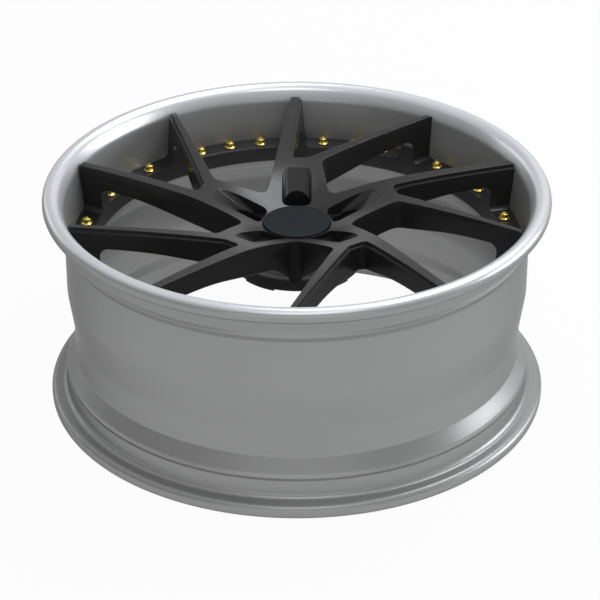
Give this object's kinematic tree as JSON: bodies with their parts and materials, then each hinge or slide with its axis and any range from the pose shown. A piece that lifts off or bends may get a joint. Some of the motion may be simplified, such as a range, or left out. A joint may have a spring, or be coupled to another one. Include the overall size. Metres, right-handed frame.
{
  "type": "forged wheel",
  "caption": "Forged car wheel: a satin silver deep-lip rim with a satin black centre of swept forked spokes bolted inside it by small gold bolts, and a flat centre cap.",
  "frame": {"origin": "centre of the hub mounting face, on the wheel's axis", "axes": "+Z along the wheel's axis from the hub towards the outboard face; +Y along one arm of the centre"},
  "size_m": [0.5477, 0.5478, 0.2476],
  "materials": {
    "rim_metal": "satin silver, polished along the lip",
    "centre_coating": "satin black coating",
    "cap_plastic": "matt black",
    "bolt_gold": "polished gold plating"
  },
  "bodies": {
    "root": {"rim": "rim_metal", "centre_disc": "centre_coating", "centre_cap": "cap_plastic", "assembly_bolts": "bolt_gold"}
  },
  "joints": []
}
